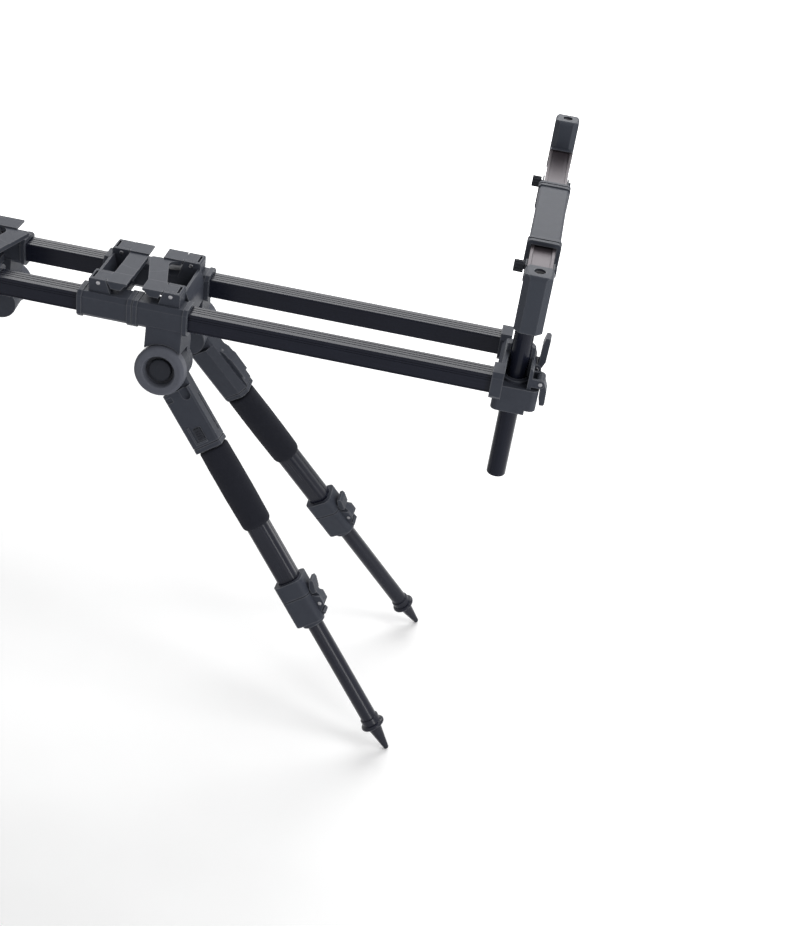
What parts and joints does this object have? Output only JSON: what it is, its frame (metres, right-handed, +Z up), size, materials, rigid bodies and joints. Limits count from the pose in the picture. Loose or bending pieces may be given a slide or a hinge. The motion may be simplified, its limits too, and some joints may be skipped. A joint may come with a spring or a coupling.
{
  "type": "rod pod",
  "caption": "Fishing rod pod: two parallel rails on swinging plug-in telescopic legs, with a height post and telescopic cross bar at each end, locked by cam levers and knobs.",
  "frame": {"origin": "on the ground under the middle of the rail joiner, at the centre of the footprint box", "axes": "+X along the rails to the right end, +Y across the rails to the far side, +Z up"},
  "size_m": [0.8908, 0.3886, 0.648],
  "materials": {
    "charcoal_plastic": "fine moulded texture, matte",
    "black_plastic": "matte",
    "black_aluminium": "black anodised, glossy sides and fine lines along the length",
    "satin_aluminium": "grey anodised satin",
    "foam": "closed-cell foam, matt and slightly rough"
  },
  "bodies": {
    "joiner": {"joiner": "charcoal_plastic"},
    "joiner_lever": {"joiner_lever": "charcoal_plastic"},
    "right_frame": {"near_right_rail": "black_aluminium", "far_right_rail": "black_aluminium", "right_end_block": "charcoal_plastic"},
    "right_leg_block": {"right_leg_block": "charcoal_plastic"},
    "right_block_lever": {"right_block_lever": "charcoal_plastic"},
    "near_right_socket": {"near_right_socket": "charcoal_plastic"},
    "near_right_knob": {"near_right_knob": "charcoal_plastic"},
    "near_right_button": {"near_right_button": "black_plastic"},
    "near_right_leg": {"near_right_tube": "black_aluminium", "near_right_grip": "foam", "near_right_clamp": "charcoal_plastic"},
    "near_right_clamp_lever": {"near_right_clamp_lever": "charcoal_plastic"},
    "near_right_lower_leg": {"near_right_lower_leg": "black_aluminium"},
    "far_right_socket": {"far_right_socket": "charcoal_plastic"},
    "far_right_knob": {"far_right_knob": "charcoal_plastic"},
    "far_right_button": {"far_right_button": "black_plastic"},
    "far_right_leg": {"far_right_tube": "black_aluminium", "far_right_grip": "foam", "far_right_clamp": "charcoal_plastic"},
    "far_right_clamp_lever": {"far_right_clamp_lever": "charcoal_plastic"},
    "far_right_lower_leg": {"far_right_lower_leg": "black_aluminium"},
    "right_upper_lever": {"right_upper_lever": "charcoal_plastic"},
    "right_lower_lever": {"right_lower_lever": "charcoal_plastic"},
    "right_post": {"right_post": "black_aluminium"},
    "right_bar": {"right_bar_sleeve": "charcoal_plastic"},
    "near_right_arm": {"near_right_arm": "satin_aluminium"},
    "near_right_thumb_screw": {"near_right_thumb_screw": "charcoal_plastic"},
    "far_right_arm": {"far_right_arm": "satin_aluminium"},
    "far_right_thumb_screw": {"far_right_thumb_screw": "charcoal_plastic"},
    "left_frame": {"near_left_rail": "black_aluminium", "far_left_rail": "black_aluminium", "left_end_block": "charcoal_plastic"},
    "left_leg_block": {"left_leg_block": "charcoal_plastic"},
    "left_block_lever": {"left_block_lever": "charcoal_plastic"},
    "near_left_socket": {"near_left_socket": "charcoal_plastic"},
    "near_left_knob": {"near_left_knob": "charcoal_plastic"},
    "near_left_button": {"near_left_button": "black_plastic"},
    "near_left_leg": {"near_left_tube": "black_aluminium", "near_left_grip": "foam", "near_left_clamp": "charcoal_plastic"},
    "near_left_clamp_lever": {"near_left_clamp_lever": "charcoal_plastic"},
    "near_left_lower_leg": {"near_left_lower_leg": "black_aluminium"},
    "far_left_socket": {"far_left_socket": "charcoal_plastic"},
    "far_left_knob": {"far_left_knob": "charcoal_plastic"},
    "far_left_button": {"far_left_button": "black_plastic"},
    "far_left_leg": {"far_left_tube": "black_aluminium", "far_left_grip": "foam", "far_left_clamp": "charcoal_plastic"},
    "far_left_clamp_lever": {"far_left_clamp_lever": "charcoal_plastic"},
    "far_left_lower_leg": {"far_left_lower_leg": "black_aluminium"},
    "left_upper_lever": {"left_upper_lever": "charcoal_plastic"},
    "left_lower_lever": {"left_lower_lever": "charcoal_plastic"},
    "left_post": {"left_post": "black_aluminium"},
    "left_bar": {"left_bar_sleeve": "charcoal_plastic"},
    "near_left_arm": {"near_left_arm": "satin_aluminium"},
    "near_left_thumb_screw": {"near_left_thumb_screw": "charcoal_plastic"},
    "far_left_arm": {"far_left_arm": "satin_aluminium"},
    "far_left_thumb_screw": {"far_left_thumb_screw": "charcoal_plastic"}
  },
  "joints": [
    {"name": "joiner_lever_open", "type": "hinge", "parent": "joiner", "child": "joiner_lever", "pos_m": [-0.0085, 0, 0.47892], "axis": [0, -1, 0], "range_deg": [0, 95]},
    {"name": "right_rails_pull_out", "type": "slide", "parent": "joiner", "child": "right_frame", "axis": [1, 0, 0], "range_m": [0, 0.06]},
    {"name": "right_leg_block_slide", "type": "slide", "parent": "right_frame", "child": "right_leg_block", "axis": [1, 0, 0], "range_m": [0, 0.25]},
    {"name": "right_block_lever_open", "type": "hinge", "parent": "right_leg_block", "child": "right_block_lever", "pos_m": [0.0651, 0, 0.47892], "axis": [0, 1, 0], "range_deg": [0, 95]},
    {"name": "near_right_leg_swing", "type": "hinge", "parent": "right_leg_block", "child": "near_right_socket", "pos_m": [0.0615, -0.041, 0.39897], "axis": [0, -0.9848, 0.1736], "range_deg": [-36, 54]},
    {"name": "near_right_knob_turn", "type": "hinge", "parent": "right_leg_block", "child": "near_right_knob", "pos_m": [0.0615, -0.041, 0.39897], "axis": [0, -0.9848, 0.1736], "continuous": true},
    {"name": "near_right_button_press", "type": "slide", "parent": "near_right_socket", "child": "near_right_button", "axis": [0, 0.9848, -0.1736], "range_m": [0, 0.0016], "stiffness_N_per_m": 900, "springref_m": -0.002},
    {"name": "near_right_leg_plug_out", "type": "slide", "parent": "near_right_socket", "child": "near_right_leg", "axis": [0.5878, -0.1405, -0.7967], "range_m": [0, 0.06]},
    {"name": "near_right_clamp_lever_open", "type": "hinge", "parent": "near_right_leg", "child": "near_right_clamp_lever", "pos_m": [0.25586, -0.08152, 0.1692], "axis": [0, 0.9848, -0.1736], "range_deg": [0, 100]},
    {"name": "near_right_lower_leg_slide", "type": "slide", "parent": "near_right_leg", "child": "near_right_lower_leg", "axis": [0.5878, -0.1405, -0.7967], "range_m": [-0.125, 0.06]},
    {"name": "far_right_leg_swing", "type": "hinge", "parent": "right_leg_block", "child": "far_right_socket", "pos_m": [0.0615, 0.041, 0.39897], "axis": [0, -0.9848, -0.1736], "range_deg": [-36, 54]},
    {"name": "far_right_knob_turn", "type": "hinge", "parent": "right_leg_block", "child": "far_right_knob", "pos_m": [0.0615, 0.041, 0.39897], "axis": [0, 0.9848, 0.1736], "continuous": true},
    {"name": "far_right_button_press", "type": "slide", "parent": "far_right_socket", "child": "far_right_button", "axis": [0, -0.9848, -0.1736], "range_m": [0, 0.0016], "stiffness_N_per_m": 900, "springref_m": -0.002},
    {"name": "far_right_leg_plug_out", "type": "slide", "parent": "far_right_socket", "child": "far_right_leg", "axis": [0.5878, 0.1405, -0.7967], "range_m": [0, 0.06]},
    {"name": "far_right_clamp_lever_open", "type": "hinge", "parent": "far_right_leg", "child": "far_right_clamp_lever", "pos_m": [0.25586, 0.08152, 0.1692], "axis": [0, 0.9848, 0.1736], "range_deg": [0, 100]},
    {"name": "far_right_lower_leg_slide", "type": "slide", "parent": "far_right_leg", "child": "far_right_lower_leg", "axis": [0.5878, 0.1405, -0.7967], "range_m": [-0.125, 0.06]},
    {"name": "right_upper_lever_open", "type": "hinge", "parent": "right_frame", "child": "right_upper_lever", "pos_m": [0.431, 0.012, 0.45197], "axis": [0, 1, 0], "range_deg": [0, 100]},
    {"name": "right_lower_lever_open", "type": "hinge", "parent": "right_frame", "child": "right_lower_lever", "pos_m": [0.4372, -0.012, 0.44897], "axis": [0, -1, 0], "range_deg": [0, 100]},
    {"name": "right_post_height", "type": "slide", "parent": "right_frame", "child": "right_post", "axis": [0, 0, 1], "range_m": [-0.09, 0.075]},
    {"name": "right_bar_swivel", "type": "hinge", "parent": "right_post", "child": "right_bar", "pos_m": [0.412, 0, 0.60897], "axis": [0, 0, 1], "range_deg": [-90, 90]},
    {"name": "near_right_arm_slide", "type": "slide", "parent": "right_bar", "child": "near_right_arm", "axis": [0, -1, 0], "range_m": [-0.038, 0.015]},
    {"name": "near_right_thumb_screw_turn", "type": "hinge", "parent": "right_bar", "child": "near_right_thumb_screw", "pos_m": [0.392, -0.098, 0.60897], "axis": [1, 0, 0], "continuous": true},
    {"name": "far_right_arm_slide", "type": "slide", "parent": "right_bar", "child": "far_right_arm", "axis": [0, 1, 0], "range_m": [-0.038, 0.015]},
    {"name": "far_right_thumb_screw_turn", "type": "hinge", "parent": "right_bar", "child": "far_right_thumb_screw", "pos_m": [0.392, 0.098, 0.60897], "axis": [1, 0, 0], "continuous": true},
    {"name": "left_rails_pull_out", "type": "slide", "parent": "joiner", "child": "left_frame", "axis": [-1, 0, 0], "range_m": [0, 0.06]},
    {"name": "left_leg_block_slide", "type": "slide", "parent": "left_frame", "child": "left_leg_block", "axis": [-1, 0, 0], "range_m": [-0.084, 0.16]},
    {"name": "left_block_lever_open", "type": "hinge", "parent": "left_leg_block", "child": "left_block_lever", "pos_m": [-0.1491, 0, 0.47892], "axis": [0, -1, 0], "range_deg": [0, 95]},
    {"name": "near_left_leg_swing", "type": "hinge", "parent": "left_leg_block", "child": "near_left_socket", "pos_m": [-0.1455, -0.041, 0.39897], "axis": [0, 0.9848, -0.1736], "range_deg": [-36, 54]},
    {"name": "near_left_knob_turn", "type": "hinge", "parent": "left_leg_block", "child": "near_left_knob", "pos_m": [-0.1455, -0.041, 0.39897], "axis": [0, -0.9848, 0.1736], "continuous": true},
    {"name": "near_left_button_press", "type": "slide", "parent": "near_left_socket", "child": "near_left_button", "axis": [0, 0.9848, -0.1736], "range_m": [0, 0.0016], "stiffness_N_per_m": 900, "springref_m": -0.002},
    {"name": "near_left_leg_plug_out", "type": "slide", "parent": "near_left_socket", "child": "near_left_leg", "axis": [-0.5878, -0.1405, -0.7967], "range_m": [0, 0.06]},
    {"name": "near_left_clamp_lever_open", "type": "hinge", "parent": "near_left_leg", "child": "near_left_clamp_lever", "pos_m": [-0.33986, -0.08152, 0.1692], "axis": [0, -0.9848, 0.1736], "range_deg": [0, 100]},
    {"name": "near_left_lower_leg_slide", "type": "slide", "parent": "near_left_leg", "child": "near_left_lower_leg", "axis": [-0.5878, -0.1405, -0.7967], "range_m": [-0.125, 0.06]},
    {"name": "far_left_leg_swing", "type": "hinge", "parent": "left_leg_block", "child": "far_left_socket", "pos_m": [-0.1455, 0.041, 0.39897], "axis": [0, 0.9848, 0.1736], "range_deg": [-36, 54]},
    {"name": "far_left_knob_turn", "type": "hinge", "parent": "left_leg_block", "child": "far_left_knob", "pos_m": [-0.1455, 0.041, 0.39897], "axis": [0, 0.9848, 0.1736], "continuous": true},
    {"name": "far_left_button_press", "type": "slide", "parent": "far_left_socket", "child": "far_left_button", "axis": [0, -0.9848, -0.1736], "range_m": [0, 0.0016], "stiffness_N_per_m": 900, "springref_m": -0.002},
    {"name": "far_left_leg_plug_out", "type": "slide", "parent": "far_left_socket", "child": "far_left_leg", "axis": [-0.5878, 0.1405, -0.7967], "range_m": [0, 0.06]},
    {"name": "far_left_clamp_lever_open", "type": "hinge", "parent": "far_left_leg", "child": "far_left_clamp_lever", "pos_m": [-0.33986, 0.08152, 0.1692], "axis": [0, -0.9848, -0.1736], "range_deg": [0, 100]},
    {"name": "far_left_lower_leg_slide", "type": "slide", "parent": "far_left_leg", "child": "far_left_lower_leg", "axis": [-0.5878, 0.1405, -0.7967], "range_m": [-0.125, 0.06]},
    {"name": "left_upper_lever_open", "type": "hinge", "parent": "left_frame", "child": "left_upper_lever", "pos_m": [-0.431, 0.012, 0.45197], "axis": [0, -1, 0], "range_deg": [0, 100]},
    {"name": "left_lower_lever_open", "type": "hinge", "parent": "left_frame", "child": "left_lower_lever", "pos_m": [-0.4372, -0.012, 0.44897], "axis": [0, 1, 0], "range_deg": [0, 100]},
    {"name": "left_post_height", "type": "slide", "parent": "left_frame", "child": "left_post", "axis": [0, 0, 1], "range_m": [-0.09, 0.075]},
    {"name": "left_bar_swivel", "type": "hinge", "parent": "left_post", "child": "left_bar", "pos_m": [-0.412, 0, 0.60897], "axis": [0, 0, 1], "range_deg": [-90, 90]},
    {"name": "near_left_arm_slide", "type": "slide", "parent": "left_bar", "child": "near_left_arm", "axis": [0, -1, 0], "range_m": [-0.038, 0.015]},
    {"name": "near_left_thumb_screw_turn", "type": "hinge", "parent": "left_bar", "child": "near_left_thumb_screw", "pos_m": [-0.392, -0.098, 0.60897], "axis": [1, 0, 0], "continuous": true},
    {"name": "far_left_arm_slide", "type": "slide", "parent": "left_bar", "child": "far_left_arm", "axis": [0, 1, 0], "range_m": [-0.038, 0.015]},
    {"name": "far_left_thumb_screw_turn", "type": "hinge", "parent": "left_bar", "child": "far_left_thumb_screw", "pos_m": [-0.392, 0.098, 0.60897], "axis": [1, 0, 0], "continuous": true}
  ]
}
